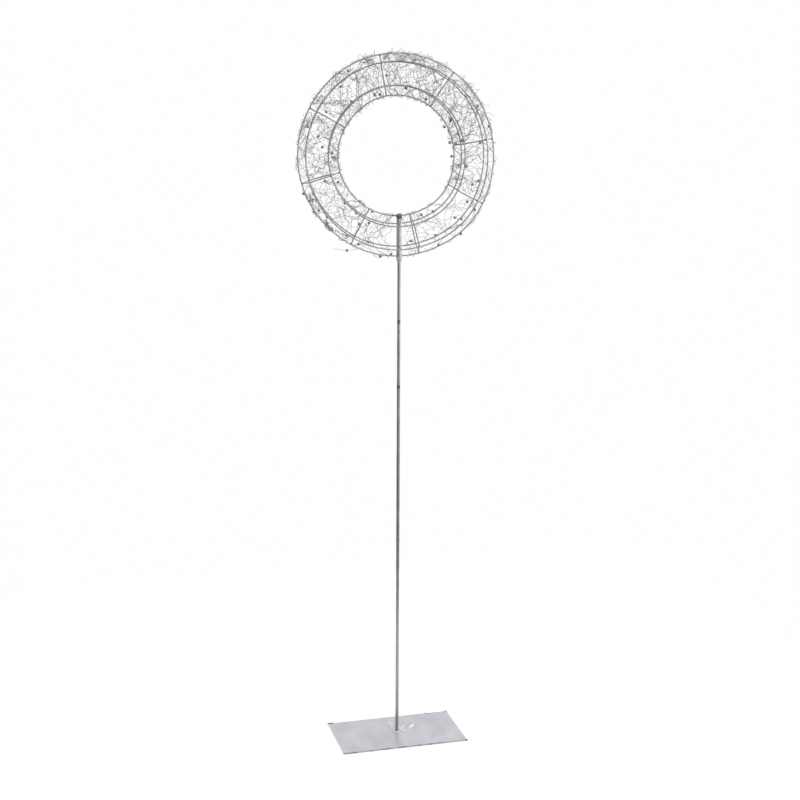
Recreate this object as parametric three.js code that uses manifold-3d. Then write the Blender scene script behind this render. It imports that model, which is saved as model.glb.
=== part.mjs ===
// Wreath frame on a stand: a ring-shaped wire cage with a hexagonal section, wound with crimped wire and
// beads. A sleeve in the cage's bottom slides over a rod that stands on a flat steel plate.
// Millimetres, +Z up. The origin is in the middle of the plate's underside, the rod's axis is the Z axis,
// +X runs along the plate's long edge and the front is -Y.

import * as THREE from 'three';
import { mergeVertices } from 'three/addons/utils/BufferGeometryUtils.js';
import Module from 'manifold-3d';

// ---- driving dimensions -------------------------------------------------------------------------

const GAP = 0.3; // clearance between pieces that touch inside the turned wreath

const PLATE_WIDTH = 234;
const PLATE_DEPTH = 133;
const PLATE_THICKNESS = 2;

const ROD_RADIUS = 3;
const SLEEVE_RADIUS = 5;
const SLEEVE_BORE_RADIUS = 3.4;
const SLEEVE_BELOW_RING = 11; // how far the sleeve's mouth hangs below the outermost ring
const MOUTH_RADIUS = 3.9; // the sleeve is drawn in at its mouth
const MOUTH_HEIGHT = 8;
const CAP_HEIGHT = 8;

const WREATH_HEIGHT = 1068; // height of the wreath's centre
const WREATH_TURN = THREE.MathUtils.degToRad(-11.5); // how far it stands turned on the rod
const WREATH_OFF_CENTRE = -5; // the sleeve is welded a little to the right of the wreath's centre line
const WREATH_OVAL = 0.98; // the rings' width over their height

const WIRE_RADIUS = 1.25;
const OUTER_RING_RADIUS = 173.5;
const OUTER_PAIR_RADIUS = 159.5;
const INNER_PAIR_RADIUS = 119.5;
const INNER_RING_RADIUS = 103;
const CAGE_HALF_DEPTH = 30.5; // from the mid-plane to the front and back rings
const BRACE_ANGLES = [35, 80, 118, 166, 208, 254, 298, 350]; // clockwise from the top, seen from the front
const BRACE_LEANS = [4.4, 3.2, 0.6, 2, -4.4, 0, -0.6, 3.1]; // degrees by which the back of each leans clockwise

const CRIMPED_WIRE_RADIUS = 0.5;
const WIRE_MARGIN = 4; // degrees between a length of crimped wire and the brace or sleeve beside it
const TURN_PITCH = 9; // degrees of the ring for each turn of crimped wire
const SLEEVE_ANGLE = 178.3; // where the sleeve crosses the outermost ring

const BEAD_RADIUS = 2.5;
const BEAD_HALF_LENGTH = 2.2;
const BEAD_HOLE_RADIUS = 0.95;
const FIRST_BEAD = 3; // the bend after which a length carries its first bead
const BENDS_PER_BEAD = 9;

const LOOSE_END = [[-60, -165], [-80.5, -164], [-112, -161.5]]; // x and z from the wreath's centre

const RING_SEGMENTS = 56;
const ROUND_SIDES = 24; // facets of the rod, the sleeve and the welds round them
const WIRE_SIDES = 8;

// Places that follow from the sizes. Inside the wreath they are counted from its centre.
const SLEEVE_X = -WREATH_OFF_CENTRE;
const RING_PLANE = SLEEVE_RADIUS + WIRE_RADIUS + GAP; // the mid-plane passes just behind the sleeve

const SLEEVE_TOP = WREATH_HEIGHT - INNER_RING_RADIUS - CAP_HEIGHT / 2;
const SLEEVE_BOTTOM = WREATH_HEIGHT - OUTER_RING_RADIUS - SLEEVE_BELOW_RING;

// ---- materials ----------------------------------------------------------------------------------

const steel = (color, roughness) => new THREE.MeshStandardMaterial({ color, roughness, metalness: 0.85 });
const plateSteel = () => steel(0xc9c6cd, 0.55);
const rodSteel = () => steel(0x8f8d92, 0.4);
const ringWire = () => steel(0x98969b, 0.45);
const weldMetal = () => steel(0x7c7a7f, 0.6);
const silverWire = () => steel(0xd2d0d6, 0.25);
const beadGloss = () => new THREE.MeshStandardMaterial({ color: 0xa9a8ae, roughness: 0.2, metalness: 0.4 });

function piece(name, geometry, material) {
  const mesh = new THREE.Mesh(geometry, material);
  mesh.name = name;
  return mesh;
}

// ---- helpers for shapes -------------------------------------------------------------------------

// A regular polygon that stands for a round wire's section.
function roundSection(radius, sides) {
  return Array.from({ length: sides }, (_, i) => {
    const a = (2 * Math.PI * (i + 0.5)) / sides;
    return new THREE.Vector2(radius * Math.cos(a), radius * Math.sin(a));
  });
}

// A profile of [radius, height] points turned about Z. It starts and ends on the axis, or else it is closed.
function turned(profile, segments) {
  const closed = profile[0][0] === 0 ? profile : [...profile, profile[0]];
  const points = closed.map(([r, z]) => new THREE.Vector2(r, z));
  return new THREE.LatheGeometry(points, segments).rotateX(Math.PI / 2);
}

// Wire that runs straight from point to point: the path's parameter steps evenly over its points, so that
// each bend of the swept solid falls on a point.
class BentWirePath extends THREE.Curve {
  constructor(points) {
    super();
    this.points = points;
  }

  getPoint(t, target = new THREE.Vector3()) {
    const last = this.points.length - 1;
    const i = Math.min(Math.floor(t * last), last - 1);
    return target.lerpVectors(this.points[i], this.points[i + 1], t * last - i);
  }

  getPointAt(u, target) {
    return this.getPoint(u, target);
  }

  getTangentAt(u, target) {
    return this.getTangent(u, target);
  }
}

function bentWire(points, radius, sides) {
  return new THREE.ExtrudeGeometry(new THREE.Shape(roundSection(radius, sides)), {
    extrudePath: new BentWirePath(points),
    steps: points.length - 1,
  });
}

// ---- booleans -----------------------------------------------------------------------------------

const wasm = await Module();
wasm.setup();

function toManifold(geometry) {
  const bare = geometry.clone();
  bare.deleteAttribute('normal');
  bare.deleteAttribute('uv');
  const merged = mergeVertices(bare, 1e-4);
  const vertProperties = new Float32Array(merged.attributes.position.array);
  const triVerts = new Uint32Array(merged.index.array);
  return new wasm.Manifold(new wasm.Mesh({ numProp: 3, vertProperties, triVerts }));
}

function fromManifold(solid) {
  const { vertProperties, triVerts } = solid.getMesh();
  const geometry = new THREE.BufferGeometry();
  geometry.setAttribute('position', new THREE.BufferAttribute(vertProperties, 3));
  geometry.setIndex(new THREE.BufferAttribute(triVerts, 1));
  geometry.computeVertexNormals();
  return geometry;
}

// ---- stand --------------------------------------------------------------------------------------

function basePlate() {
  const geometry = new THREE.BoxGeometry(PLATE_WIDTH, PLATE_DEPTH, PLATE_THICKNESS);
  geometry.translate(0, 0, PLATE_THICKNESS / 2);
  return piece('base_plate', geometry, plateSteel());
}

// The rod's chamfered tip stops just under the sleeve's closed end.
function standRod() {
  const chamfer = 0.8;
  const profile = [
    [0, PLATE_THICKNESS],
    [ROD_RADIUS, PLATE_THICKNESS],
    [ROD_RADIUS, SLEEVE_TOP - chamfer],
    [ROD_RADIUS - chamfer, SLEEVE_TOP],
    [0, SLEEVE_TOP],
  ];
  return piece('stand_rod', turned(profile, ROUND_SIDES), rodSteel());
}

// A hollow-faced fillet round the rod's foot.
function footWeld() {
  const leg = 1.7;
  const inner = ROD_RADIUS + GAP;
  const profile = [
    [inner, 0],
    [inner + leg, 0],
    [inner + leg / 2, leg / 3],
    [inner + leg / 5, leg * 0.9],
    [inner, leg],
  ];
  const geometry = turned(profile, ROUND_SIDES).translate(0, 0, PLATE_THICKNESS);
  return piece('foot_weld', geometry, weldMetal());
}

// ---- sleeve -------------------------------------------------------------------------------------

function sleeveTube() {
  const profile = [
    [SLEEVE_BORE_RADIUS, SLEEVE_BOTTOM],
    [MOUTH_RADIUS, SLEEVE_BOTTOM],
    [SLEEVE_RADIUS, SLEEVE_BOTTOM + MOUTH_HEIGHT],
    [SLEEVE_RADIUS, SLEEVE_TOP],
    [SLEEVE_BORE_RADIUS, SLEEVE_TOP],
  ];
  return piece('sleeve_tube', turned(profile, ROUND_SIDES), rodSteel());
}

// ---- wreath cage --------------------------------------------------------------------------------

// A wire ring about the wreath's Y axis. x is scaled for the slight oval.
function ringGeometry(radius, y, wireRadius = WIRE_RADIUS) {
  const section = roundSection(wireRadius, WIRE_SIDES);
  const profile = [...section, section[0]].map((p) => new THREE.Vector2(radius + p.x, y + p.y));
  return new THREE.LatheGeometry(profile, RING_SEGMENTS).scale(WREATH_OVAL, 1, 1);
}

// The six rings as [ring radius, depth from the mid-plane], anticlockwise round the cage's section.
const CAGE_RINGS = {
  outer_ring: [OUTER_RING_RADIUS, 0],
  back_outer_ring: [OUTER_PAIR_RADIUS, CAGE_HALF_DEPTH],
  back_inner_ring: [INNER_PAIR_RADIUS, CAGE_HALF_DEPTH],
  inner_ring: [INNER_RING_RADIUS, 0],
  front_inner_ring: [INNER_PAIR_RADIUS, -CAGE_HALF_DEPTH],
  front_outer_ring: [OUTER_PAIR_RADIUS, -CAGE_HALF_DEPTH],
};
const CAGE_MIDDLE = (OUTER_RING_RADIUS + INNER_RING_RADIUS) / 2;

// The section's corners moved by a distance away from its middle, or towards it where it is negative.
function movedCorners(distance) {
  return Object.values(CAGE_RINGS).map(([r, y]) => {
    const fromMiddle = new THREE.Vector2(r - CAGE_MIDDLE, y);
    return fromMiddle.setLength(fromMiddle.length() + distance);
  });
}

// A point of the cage at a clock angle, with the ring radius and the depth from the mid-plane.
function cagePoint(degrees, radius, y) {
  const a = THREE.MathUtils.degToRad(degrees);
  return new THREE.Vector3(WREATH_OVAL * radius * Math.sin(a), RING_PLANE + y, radius * Math.cos(a));
}

function rings() {
  return Object.entries(CAGE_RINGS).map(([name, [radius, y]]) => {
    return piece(name, ringGeometry(radius, RING_PLANE + y), ringWire());
  });
}

// A closed hexagonal wire loop inside the rings, cut as an outline with a hole and rounded by its bevels.
// Local x runs outwards along the radius and local y along the depth. Its plane leans about the radius.
function brace(name, degrees, lean) {
  const a = THREE.MathUtils.degToRad(degrees);
  const spoke = new THREE.Vector2(WREATH_OVAL * Math.sin(a), Math.cos(a));
  const stretch = spoke.length();
  const bevel = 0.9;
  const toCentreLine = -(WIRE_RADIUS / Math.cos(Math.PI / 6) + WIRE_RADIUS + GAP);
  const half = WIRE_RADIUS / Math.cos(Math.PI / 6) - bevel;
  const outline = (distance) => {
    return movedCorners(toCentreLine + distance).map((p) => {
      return new THREE.Vector2((CAGE_MIDDLE + p.x) * stretch, p.y);
    });
  };
  const shape = new THREE.Shape(outline(half));
  shape.holes.push(new THREE.Path(outline(-half)));
  const depth = 2 * (WIRE_RADIUS - bevel);
  const geometry = new THREE.ExtrudeGeometry(shape, {
    depth,
    steps: 1,
    bevelThickness: bevel,
    bevelSize: bevel,
    bevelSegments: 1,
  });
  geometry.translate(0, 0, -depth / 2).rotateX(-THREE.MathUtils.degToRad(lean));
  const mesh = piece(name, geometry, ringWire());
  mesh.position.y = RING_PLANE;
  mesh.rotation.y = Math.atan2(spoke.x, spoke.y) - Math.PI / 2;
  return mesh;
}

// ---- sleeve's closed end and its welds to the rings -------------------------------------------------

function sleeveCap() {
  const chamfer = 1.2;
  const radius = SLEEVE_RADIUS - 0.1;
  const profile = [
    [0, 0],
    [radius, 0],
    [radius, CAP_HEIGHT - chamfer],
    [radius - chamfer, CAP_HEIGHT],
    [0, CAP_HEIGHT],
  ];
  const bottom = SLEEVE_TOP + GAP - WREATH_HEIGHT;
  const geometry = turned(profile, ROUND_SIDES).translate(SLEEVE_X, 0, bottom);
  return piece('sleeve_cap', geometry, weldMetal());
}

// Weld metal that fills the corners between the sleeve and a ring: a flat lump, less both of them.
function sleeveWeld(name, ringRadius) {
  const [halfWidth, halfDepth, halfHeight] = [5.6, 3, 3.4];
  const lump = new THREE.SphereGeometry(1, 14, 10).scale(halfWidth, halfDepth, halfHeight);
  lump.translate(SLEEVE_X, SLEEVE_RADIUS + halfDepth / 5, -ringRadius);
  const cutRadius = SLEEVE_RADIUS + GAP;
  const sleeve = new THREE.CylinderGeometry(cutRadius, cutRadius, 4 * halfHeight, ROUND_SIDES);
  sleeve.rotateX(Math.PI / 2).translate(SLEEVE_X, 0, -ringRadius);
  const ring = ringGeometry(ringRadius, RING_PLANE, WIRE_RADIUS + GAP);
  const solid = toManifold(lump).subtract(toManifold(sleeve)).subtract(toManifold(ring));
  return piece(name, fromManifold(solid), weldMetal());
}

// ---- crimped wire and beads -----------------------------------------------------------------------

const WINDING_CORNERS = movedCorners(WIRE_RADIUS + CRIMPED_WIRE_RADIUS + 2 * GAP);

// The start and end angle of each length: one in each bay, and two in the bay that holds the sleeve.
function wireSpans() {
  const stops = [...BRACE_ANGLES, SLEEVE_ANGLE].sort((a, b) => a - b);
  return stops.map((start, i) => {
    const end = i + 1 < stops.length ? stops[i + 1] : stops[0] + 360;
    return [start + WIRE_MARGIN, end - WIRE_MARGIN];
  });
}

// The bends of one length, which goes over each ring in turn as it winds along its bay.
function windingPoints([start, end]) {
  const turns = Math.max(1, Math.round((end - start) / TURN_PITCH));
  const bends = turns * WINDING_CORNERS.length;
  return Array.from({ length: bends + 1 }, (_, i) => {
    const corner = WINDING_CORNERS[i % WINDING_CORNERS.length];
    return cagePoint(start + ((end - start) * i) / bends, CAGE_MIDDLE + corner.x, corner.y);
  });
}

// A bead with a hole along it, in the middle of the straight wire between two bends.
function beadGeometry(from, to) {
  const shoulder = [BEAD_RADIUS * 0.8, BEAD_HALF_LENGTH * 0.72];
  const profile = [
    [BEAD_HOLE_RADIUS, -BEAD_HALF_LENGTH],
    [shoulder[0], -shoulder[1]],
    [BEAD_RADIUS, 0],
    shoulder,
    [BEAD_HOLE_RADIUS, BEAD_HALF_LENGTH],
  ];
  const along = to.clone().sub(from).normalize();
  const middle = from.clone().add(to).multiplyScalar(0.5);
  const turn = new THREE.Quaternion().setFromUnitVectors(new THREE.Vector3(0, 0, 1), along);
  return turned(profile, 8).applyQuaternion(turn).translate(middle.x, middle.y, middle.z);
}

function crimpedWireAndBeads() {
  const wires = [];
  const beads = [];
  wireSpans().forEach((span, i) => {
    const points = windingPoints(span);
    wires.push(piece(`curly_wire_${i + 1}`, bentWire(points, CRIMPED_WIRE_RADIUS, 4), silverWire()));
    for (let k = FIRST_BEAD; k + 1 < points.length; k += BENDS_PER_BEAD) {
      beads.push(piece(`bead_${beads.length + 1}`, beadGeometry(points[k], points[k + 1]), beadGloss()));
    }
  });
  return [...wires, ...beads];
}

function looseEnd() {
  const points = LOOSE_END.map(([x, z]) => new THREE.Vector3(x, RING_PLANE, z));
  const bendAway = points[1].clone().lerp(points[2], 0.35);
  const wire = bentWire([points[0], points[1], bendAway, points[2]], CRIMPED_WIRE_RADIUS, 4);
  const bead = beadGeometry(points[1], bendAway);
  return [piece('loose_wire_end', wire, silverWire()), piece('loose_end_bead', bead, beadGloss())];
}

// ---- assembly -------------------------------------------------------------------------------------

function wreath() {
  const group = new THREE.Group();
  const cage = new THREE.Group();
  cage.position.set(WREATH_OFF_CENTRE, 0, WREATH_HEIGHT);
  cage.add(sleeveCap());
  cage.add(sleeveWeld('sleeve_weld_top', INNER_RING_RADIUS));
  cage.add(sleeveWeld('sleeve_weld_bottom', OUTER_RING_RADIUS));
  cage.add(...rings());
  cage.add(...BRACE_ANGLES.map((degrees, i) => brace(`brace_${i + 1}`, degrees, BRACE_LEANS[i])));
  cage.add(...crimpedWireAndBeads());
  cage.add(...looseEnd());
  group.add(cage);
  group.rotation.z = WREATH_TURN;
  return group;
}

const wreathFrame = new THREE.Group();
wreathFrame.name = 'wreath_frame';
wreathFrame.add(basePlate(), standRod(), footWeld());
wreathFrame.add(sleeveTube());
wreathFrame.add(wreath());

export default wreathFrame;
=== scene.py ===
import math

import bpy
import numpy as np
from mathutils import Matrix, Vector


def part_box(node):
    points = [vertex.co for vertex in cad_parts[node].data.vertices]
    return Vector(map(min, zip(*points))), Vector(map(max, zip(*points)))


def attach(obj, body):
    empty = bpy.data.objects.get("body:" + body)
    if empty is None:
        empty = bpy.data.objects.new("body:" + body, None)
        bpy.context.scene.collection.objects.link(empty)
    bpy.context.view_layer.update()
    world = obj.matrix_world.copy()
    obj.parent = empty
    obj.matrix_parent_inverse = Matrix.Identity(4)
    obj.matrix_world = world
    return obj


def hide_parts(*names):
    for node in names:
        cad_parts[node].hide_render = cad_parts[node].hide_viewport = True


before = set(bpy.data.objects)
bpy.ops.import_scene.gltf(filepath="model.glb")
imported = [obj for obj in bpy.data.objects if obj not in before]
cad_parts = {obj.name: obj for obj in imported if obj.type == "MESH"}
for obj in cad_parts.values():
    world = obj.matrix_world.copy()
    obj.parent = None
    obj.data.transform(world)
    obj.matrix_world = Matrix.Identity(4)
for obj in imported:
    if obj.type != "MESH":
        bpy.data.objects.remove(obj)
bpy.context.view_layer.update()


# ---- base plate ---------------------------------------------------------------------------------
# A sheared rectangle of thin steel plate, sprayed silver. The shear leaves its top edge rolled over and
# a torn burr along the underside, and the corners and front edge carry dark flecks of bare steel. The paint
# also carries painted shade along the front edge and a painted reflection along the left edge.


class Value:
    """A number that varies over a material. Arithmetic on it adds the Math nodes that work it out."""

    def __init__(self, tree, socket):
        self.tree = tree
        self.socket = socket

    def maths(self, operation, first, second=None):
        inputs = [first] if second is None else [first, second]
        return self.node("ShaderNodeMath", {"operation": operation}, dict(enumerate(inputs)))

    def node(self, kind, settings, inputs, output=0):
        """Adds any node: its settings first, then a value or a link for each socket named."""
        made = self.tree.nodes.new(kind)
        for name, setting in settings.items():
            setattr(made, name, setting)
        for name, given in inputs.items():
            if isinstance(given, Value):
                self.tree.links.new(given.socket, made.inputs[name])
            else:
                made.inputs[name].default_value = given
        return Value(self.tree, made.outputs[output])

    def __add__(self, other):
        return self.maths("ADD", self, other)

    def __radd__(self, other):
        return self.maths("ADD", other, self)

    def __sub__(self, other):
        return self.maths("SUBTRACT", self, other)

    def __rsub__(self, other):
        return self.maths("SUBTRACT", other, self)

    def __mul__(self, other):
        return self.maths("MULTIPLY", self, other)

    def __rmul__(self, other):
        return self.maths("MULTIPLY", other, self)

    def __abs__(self):
        return self.maths("ABSOLUTE", self)

    def ramp(self, low, high):
        """0 below low, 1 above high and a smooth rise in between. It falls if low is over high."""
        settings = {"interpolation_type": "SMOOTHSTEP"}
        if low < high:
            return self.node("ShaderNodeMapRange", settings, {0: self, 1: low, 2: high})
        return 1 - self.node("ShaderNodeMapRange", settings, {0: self, 1: high, 2: low})

    def blend(self, colour_at_0, colour_at_1):
        """A colour that goes from one to the other as this value goes from 0 to 1."""
        settings = {"data_type": "RGBA", "clamp_factor": True}
        colours = [c if isinstance(c, Value) else (*c, 1) for c in (colour_at_0, colour_at_1)]
        return self.node("ShaderNodeMix", settings, {0: self, 6: colours[0], 7: colours[1]}, output=2)


class Finish(Value):
    """A material on the Principled shader, with its Object coordinates and a few patterns on them."""

    def __init__(self, name, **settings):
        self.material = bpy.data.materials.new(name)
        self.material.use_nodes = True
        self.tree = self.material.node_tree
        self.shader = self.tree.nodes["Principled BSDF"]
        for socket, setting in settings.items():
            self.shader.inputs[socket.replace("_", " ")].default_value = setting
        self.place = self.node("ShaderNodeTexCoord", {}, {}, output="Object")
        self.x, self.y, self.z = (
            self.node("ShaderNodeSeparateXYZ", {}, {0: self.place}, output=i) for i in range(3)
        )

    def noise(self, size, detail=2, stretch=(1, 1, 1), roughness=0.5):
        """Cloudy noise from 0 to 1 whose patches are about as wide as size, in metres."""
        scale = [s / size for s in stretch]
        scaled = self.node("ShaderNodeMapping", {}, {"Vector": self.place, "Scale": scale})
        inputs = {"Vector": scaled, "Scale": 1, "Detail": detail, "Roughness": roughness}
        return self.node("ShaderNodeTexNoise", {}, inputs)

    def cells(self, size):
        """The distance from the nearest of many scattered points that are about size apart."""
        return self.node("ShaderNodeTexVoronoi", {}, {"Vector": self.place, "Scale": 1 / size})

    def paint(self, colour, roughness=None, height=None, strength=0.2, metallic=None):
        """Links what is given of colour, roughness, relief and metalness to the shader."""
        wanted = {"Base Color": colour, "Roughness": roughness, "Metallic": metallic}
        if height is not None:
            bump = {"Height": height, "Strength": strength, "Distance": 0.0002}
            wanted["Normal"] = self.node("ShaderNodeBump", {}, bump)
        for socket, value in wanted.items():
            if value is not None:
                self.tree.links.new(value.socket, self.shader.inputs[socket])
        return self.material


def make_piece(name, points, faces, body, slot, material, replaced=()):
    """A mesh piece from points and lists of faces with equally many corners, smooth and facing out.

    The faces are turned round if the volume that they enclose comes out negative: the sum, over the
    triangles that fan out from each face's first corner, of a sixth of their corners' triple product."""
    volume = 0
    for corners in faces:
        for i in range(1, corners.shape[1] - 1):
            a, b, c = (points[corners[:, k]] for k in (0, i, i + 1))
            volume += np.einsum("ij,ij->", a, np.cross(b, c)) / 6
    if volume < 0:
        faces = [corners[:, ::-1] for corners in faces]
    loops = np.concatenate([corners.ravel() for corners in faces])
    sizes = np.concatenate([np.full(len(corners), corners.shape[1]) for corners in faces])
    mesh = bpy.data.meshes.new(name)
    mesh.vertices.add(len(points))
    mesh.vertices.foreach_set("co", points.astype(np.float32).ravel())
    mesh.loops.add(len(loops))
    mesh.loops.foreach_set("vertex_index", loops.astype(np.int32))
    mesh.polygons.add(len(sizes))
    mesh.polygons.foreach_set("loop_start", (np.cumsum(sizes) - sizes).astype(np.int32))
    mesh.polygons.foreach_set("use_smooth", np.ones(len(sizes), bool))
    mesh.update(calc_edges=True)
    mesh.validate()
    mesh.materials.append(material)
    made = bpy.data.objects.new(name, mesh)
    bpy.context.scene.collection.objects.link(made)
    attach(made, body)
    if replaced:
        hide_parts(*replaced)
    return made


def grid_faces(grids, joined):
    """Faces of surfaces given as grids (surfaces, rows, columns, 3), whose rows are closed outlines.

    Each row is joined to the next by quads. The last row is joined to the first if joined is true, or
    else each end is closed by triangles to a new point in the middle of its row."""
    surfaces, rows, columns = grids.shape[:3]
    index = np.arange(surfaces * rows * columns).reshape(surfaces, rows, columns)
    below = index if joined else index[:, :-1]
    above = np.roll(index, -1, 1) if joined else index[:, 1:]
    right = np.roll(below, -1, 2), np.roll(above, -1, 2)
    quads = np.stack([below, right[0], right[1], above], -1).reshape(-1, 4)
    points = grids.reshape(-1, 3)
    if joined:
        return points, [quads]
    ends = np.concatenate([grids[:, 0].mean(1), grids[:, -1].mean(1)])
    first = len(points) + np.arange(surfaces)[:, None] + 0 * index[:, 0]
    last = first + surfaces
    opening = np.stack([np.roll(index[:, 0], -1, 1), index[:, 0], first], -1).reshape(-1, 3)
    closing = np.stack([index[:, -1], np.roll(index[:, -1], -1, 1), last], -1).reshape(-1, 3)
    return np.concatenate([points, ends]), [quads, np.concatenate([opening, closing])]


def wobble(t, sizes, lengths, seed):
    """A sum of sine waves over t: one for each size and wavelength, each with its own random phase."""
    phases = np.random.default_rng(seed).uniform(0, 2 * math.pi, len(sizes))
    return sum(a * np.sin(2 * math.pi * t / w + p) for a, w, p in zip(sizes, lengths, phases))


PLATE_LOW, PLATE_HIGH = (np.array(corner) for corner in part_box("base_plate"))
PLATE_HALF = (PLATE_HIGH - PLATE_LOW)[:2] / 2
PLATE_TOP = PLATE_HIGH[2]
CORNER = 0.0012  # radius of the plate's corners, as the shear leaves them
CORNER_POINTS = 7
NICK = 0.0776  # where the back edge has a small nick, to the right of the middle


def plate_outline(steps):
    """The plate's outline seen from above, as points and outward directions, evenly spaced by angle in
    each corner and by length along each edge. A point is the corner's centre plus its radius outwards."""
    a = np.linspace(0, math.pi / 2, CORNER_POINTS)
    turns = (a + np.arange(4)[:, None] * math.pi / 2).ravel()
    centres = np.repeat([[1, 1], [-1, 1], [-1, -1], [1, -1]], CORNER_POINTS, 0) * (PLATE_HALF - CORNER)
    outward = np.stack([np.cos(turns), np.sin(turns)], 1)
    corners = centres + CORNER * outward
    after = np.roll(corners, -1, 0)
    share = np.linspace(0, 1, steps, endpoint=False)[:, None, None]
    parts = [corners + share * (after - corners), outward + share * (np.roll(outward, -1, 0) - outward)]
    keep = np.ones((steps, len(turns)), bool)
    keep[1:] = np.arange(len(turns)) % CORNER_POINTS == CORNER_POINTS - 1
    points, normals = (p.transpose(1, 0, 2)[keep.T] for p in parts)
    return points, normals / np.linalg.norm(normals, axis=1)[:, None]


def plate_grid():
    """Rows of the outline from the middle of the underside, round the sheared edge, to the middle of the
    top. A row is the outline drawn in by its inset, or shrunk towards the middle, at its own height."""
    outline, outward = plate_outline(60)
    along = np.cumsum(np.linalg.norm(np.roll(outline, -1, 0) - outline, axis=1))
    torn = wobble(along, [0.00012, 0.0001, 0.00008], [0.0091, 0.0037, 0.0017], 3)
    at_back = outward[:, 1] > 0.7
    nick = 0.0013 * at_back * np.exp(-(((outline[:, 0] - NICK) / 0.0016) ** 2))
    edge = [(0.0005, 0), (0.0001, 0.06), (0.00002, 0.25), (0.0001, 0.5), (0.0002, 0.75)]
    rolled = [(0.00035, 0.9), (0.0006, 0.97), (0.001, 1)]
    rows = []
    for share in (0, 0.3, 0.6, 0.85, 0.96):
        rows.append(np.column_stack([outline * share, np.zeros(len(outline))]))
    for inset, share in edge + rolled:
        ragged = torn * (share < 0.8) + nick
        inward = (inset + np.maximum(ragged, -inset))[:, None]
        rows.append(np.column_stack([outline - inward * outward, np.full(len(outline), PLATE_TOP * share)]))
    for share in (0.97, 0.9, 0.75, 0.5, 0.25, 0):
        rows.append(np.column_stack([outline * share, np.full(len(outline), PLATE_TOP)]))
    return np.array(rows)[None]


# Rubs in the lacquer: middle x and y, half length and half width in millimetres, turn in degrees, depth.
RUBS = (
    (8.6, 20.4, 7.5, 1.5, 74, 0.8),
    (15.4, 16.0, 10.0, 2.2, 49, 0.7),
    (14.0, 3.8, 7.0, 2.8, -38, 0.5),
    (31.4, 14.8, 14.5, 3.0, 54, 1.0),
    (-3.0, 35.0, 20.0, 4.0, 85, 0.2),
    (72.0, -45.0, 14.0, 5.0, 10, 0.12),
    (91.0, -42.0, 8.0, 8.0, 60, 0.2),
)


def silver_spray():
    """Silver lacquer on rolled plate: cloudy, finely grained, darker along the front edge in flecks, partly
    bare steel and partly painted shade on the front face, lightened along the left edge by a painted
    reflection, with bright rubs beside the foot and faint ones near the front right corner."""
    f = Finish("silver_spray", Specular_IOR_Level=0.5)
    clouds = f.noise(0.035, detail=5, stretch=(1, 0.6, 1))
    grain = f.noise(0.0025, detail=4, roughness=0.65)
    front = (f.y * -1).ramp(PLATE_HALF[1] - 0.0012, PLATE_HALF[1] - 0.0003)
    right = f.x.ramp(PLATE_HALF[0] - 0.002, PLATE_HALF[0] - 0.0005)
    # The left edge's band, which carries a painted reflection.
    left = (f.x * -1).ramp(PLATE_HALF[0] - 0.0006, PLATE_HALF[0] - 0.0001)
    back = f.y.ramp(PLATE_HALF[1] - 0.0015, PLATE_HALF[1] - 0.0004)
    # Dark flecks along the front edge: partly bare steel, partly painted shade on the front face.
    dark = f.noise(0.012, detail=4).ramp(0.42, 0.6) * front
    rub = 0
    for x, y, long, wide, turn, depth in RUBS:
        c, s = math.cos(math.radians(turn)), math.sin(math.radians(turn))
        dx, dy = f.x - x / 1000, f.y - y / 1000
        lengthways = (dx * c + dy * s) * (1000 / long)
        across = (dy * c - dx * s) * (1000 / wide)
        rub = (lengthways * lengthways + across * across).ramp(1.5, 0.1) * depth + rub
    rub = rub.maths("MINIMUM", rub * f.noise(0.006, detail=4).ramp(0.28, 0.6) * 1.2, 1)
    tone = clouds.ramp(0.3, 0.7).blend((0.415, 0.403, 0.44), (0.51, 0.497, 0.535))
    tone = (grain.ramp(0.35, 0.75) * 0.25).blend(tone, (0.56, 0.55, 0.585))
    tone = (rub * 0.85).blend(tone, (0.97, 0.97, 0.98))
    # The front, right and back edges darken; on the front this is partly painted shade.
    tone = (dark * 0.5 + front * 0.25 + right * 0.12 + back * 0.12).blend(tone, (0.12, 0.115, 0.125))
    # Painted reflection: the left edge is lightened nearly to white.
    tone = (left * 0.8).blend(tone, (0.85, 0.84, 0.86))
    roughness = 0.34 + clouds * 0.14 - rub * 0.1
    return f.paint(tone, roughness, grain + clouds * 2, 0.12, metallic=0.55 - rub * 0.35)


SILVER_SPRAY = silver_spray()
steel_plate = grid_faces(plate_grid(), False)
make_piece("steel_plate", *steel_plate, "stand", "plate_steel", SILVER_SPRAY, ["base_plate"])


# ---- flecks on the plate's edges ------------------------------------------------------------------
# Crumbs of torn and burnt steel that the shear and the welding left along the front edge, at the corners
# and beside the nick. They stick to the edge, and the silver has worn off them.


def crumbs(centres, sizes, seed):
    """Lumps: each is a ball whose radius is scaled by a few sine waves of its longitude and latitude."""
    rng = np.random.default_rng(seed)
    lat = np.linspace(-1.35, 1.35, 7)[:, None]
    lon = np.linspace(0, 2 * math.pi, 10, endpoint=False)[None]
    ball = np.stack([np.cos(lat) * np.cos(lon), np.cos(lat) * np.sin(lon), np.sin(lat) + 0 * lon], -1)
    phase = rng.uniform(0, 6, (3, len(centres), 1, 1))
    bumpy = 1 + 0.16 * np.sin(2 * lon + phase[0]) * np.cos(lat) + 0.12 * np.sin(3 * lat + phase[1] + lon)
    bumpy = bumpy + 0.08 * np.sin(3 * lon + phase[2])
    return centres[:, None, None] + ball[None] * bumpy[..., None] * sizes[:, None, None]


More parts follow.
